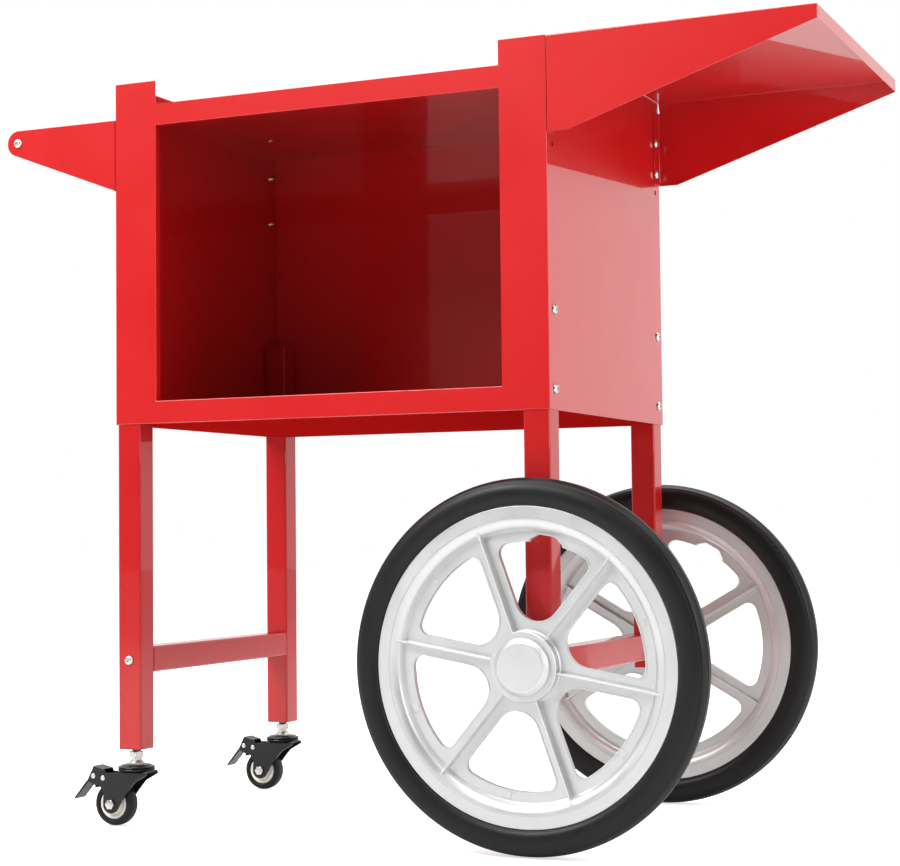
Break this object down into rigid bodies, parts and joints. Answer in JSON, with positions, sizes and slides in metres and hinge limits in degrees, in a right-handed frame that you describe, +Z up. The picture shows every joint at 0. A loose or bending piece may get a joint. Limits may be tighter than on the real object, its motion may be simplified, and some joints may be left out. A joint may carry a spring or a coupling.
{
  "type": "popcorn machine cart",
  "caption": "Red sheet-steel cart for a countertop popcorn machine: open-front cabinet on square legs, large spoked wheels, braked swivel casters, push handle and folded side tray.",
  "frame": {"origin": "on the floor under the middle of the cart's outline", "axes": "+X from the handle towards the side tray, +Y from the open front towards the back, +Z up"},
  "size_m": [0.9398, 0.467, 0.822],
  "materials": {
    "red_enamel": "glossy powder coat",
    "bright_zinc": "bright zinc plating",
    "silver_plastic": "satin moulded plastic, silver grey",
    "black_rubber": "satin moulded rubber",
    "black_enamel": "black powder coat",
    "cream_plastic": "glossy moulded plastic",
    "black_plastic": "moulded plastic"
  },
  "bodies": {
    "cart": {"back_panel": "red_enamel", "bottom_panel": "red_enamel", "cross_bar_screw_front": "bright_zinc", "cross_bar_screw_rear": "bright_zinc", "front_axle_retainer": "bright_zinc", "front_caster_socket": "black_plastic", "front_caster_stem": "bright_zinc", "front_frame": "red_enamel", "front_handle_plate": "red_enamel", "front_left_leg": "red_enamel", "front_left_leg_screw_lower": "bright_zinc", "front_left_leg_screw_upper": "bright_zinc", "front_right_leg": "red_enamel", "front_right_leg_screw_lower": "bright_zinc", "front_right_leg_screw_upper": "bright_zinc", "handle_bar": "red_enamel", "handle_bolt_front": "bright_zinc", "handle_bolt_rear": "bright_zinc", "handle_plate_screw_front_lower": "bright_zinc", "handle_plate_screw_front_upper": "bright_zinc", "handle_plate_screw_rear_lower": "bright_zinc", "handle_plate_screw_rear_upper": "bright_zinc", "left_cross_bar": "red_enamel", "left_side_panel": "red_enamel", "rear_axle_retainer": "bright_zinc", "rear_caster_socket": "black_plastic", "rear_caster_stem": "bright_zinc", "rear_handle_plate": "red_enamel", "rear_left_leg": "red_enamel", "rear_left_leg_screw_lower": "bright_zinc", "rear_left_leg_screw_upper": "bright_zinc", "rear_right_leg": "red_enamel", "rear_right_leg_screw_lower": "bright_zinc", "rear_right_leg_screw_upper": "bright_zinc", "right_cross_bar": "red_enamel", "right_side_panel": "red_enamel", "side_tray": "red_enamel", "top_deck": "red_enamel", "tray_screw_front_lower": "bright_zinc", "tray_screw_front_upper": "bright_zinc", "tray_screw_rear_lower": "bright_zinc", "tray_screw_rear_upper": "bright_zinc", "wheel_axle": "bright_zinc"},
    "front_wheel": {"front_wheel_rim": "silver_plastic", "front_wheel_tyre": "black_rubber", "front_hub_cap": "silver_plastic"},
    "front_caster": {"front_caster_fork": "black_enamel", "front_caster_bolt": "bright_zinc"},
    "front_caster_wheel": {"front_caster_core": "cream_plastic", "front_caster_tyre": "black_rubber"},
    "front_brake": {"front_brake_pedal": "black_enamel"},
    "rear_wheel": {"rear_wheel_rim": "silver_plastic", "rear_wheel_tyre": "black_rubber", "rear_hub_cap": "silver_plastic"},
    "rear_caster": {"rear_caster_fork": "black_enamel", "rear_caster_bolt": "bright_zinc"},
    "rear_caster_wheel": {"rear_caster_core": "cream_plastic", "rear_caster_tyre": "black_rubber"},
    "rear_brake": {"rear_brake_pedal": "black_enamel"}
  },
  "joints": [
    {"name": "front_wheel_spin", "type": "hinge", "parent": "cart", "child": "front_wheel", "pos_m": [0.1754, -0.2115, 0.1865], "axis": [0, 1, 0], "continuous": true},
    {"name": "rear_wheel_spin", "type": "hinge", "parent": "cart", "child": "rear_wheel", "pos_m": [0.1754, 0.2115, 0.1865], "axis": [0, 1, 0], "continuous": true},
    {"name": "front_caster_swivel", "type": "hinge", "parent": "cart", "child": "front_caster", "pos_m": [-0.3085, -0.16695, 0.059], "axis": [0, 0, 1], "continuous": true},
    {"name": "front_caster_spin", "type": "hinge", "parent": "front_caster", "child": "front_caster_wheel", "pos_m": [-0.3345, -0.16695, 0.024], "axis": [0, 1, 0], "continuous": true},
    {"name": "front_brake_press", "type": "hinge", "parent": "front_caster", "child": "front_brake", "pos_m": [-0.3445, -0.16695, 0.0525], "axis": [0, -1, 0], "range_deg": [0, 10]},
    {"name": "rear_caster_swivel", "type": "hinge", "parent": "cart", "child": "rear_caster", "pos_m": [-0.3085, 0.16565, 0.059], "axis": [0, 0, 1], "continuous": true},
    {"name": "rear_caster_spin", "type": "hinge", "parent": "rear_caster", "child": "rear_caster_wheel", "pos_m": [-0.3345, 0.16565, 0.024], "axis": [0, 1, 0], "continuous": true},
    {"name": "rear_brake_press", "type": "hinge", "parent": "rear_caster", "child": "rear_brake", "pos_m": [-0.3445, 0.16565, 0.0525], "axis": [0, -1, 0], "range_deg": [0, 10]}
  ]
}
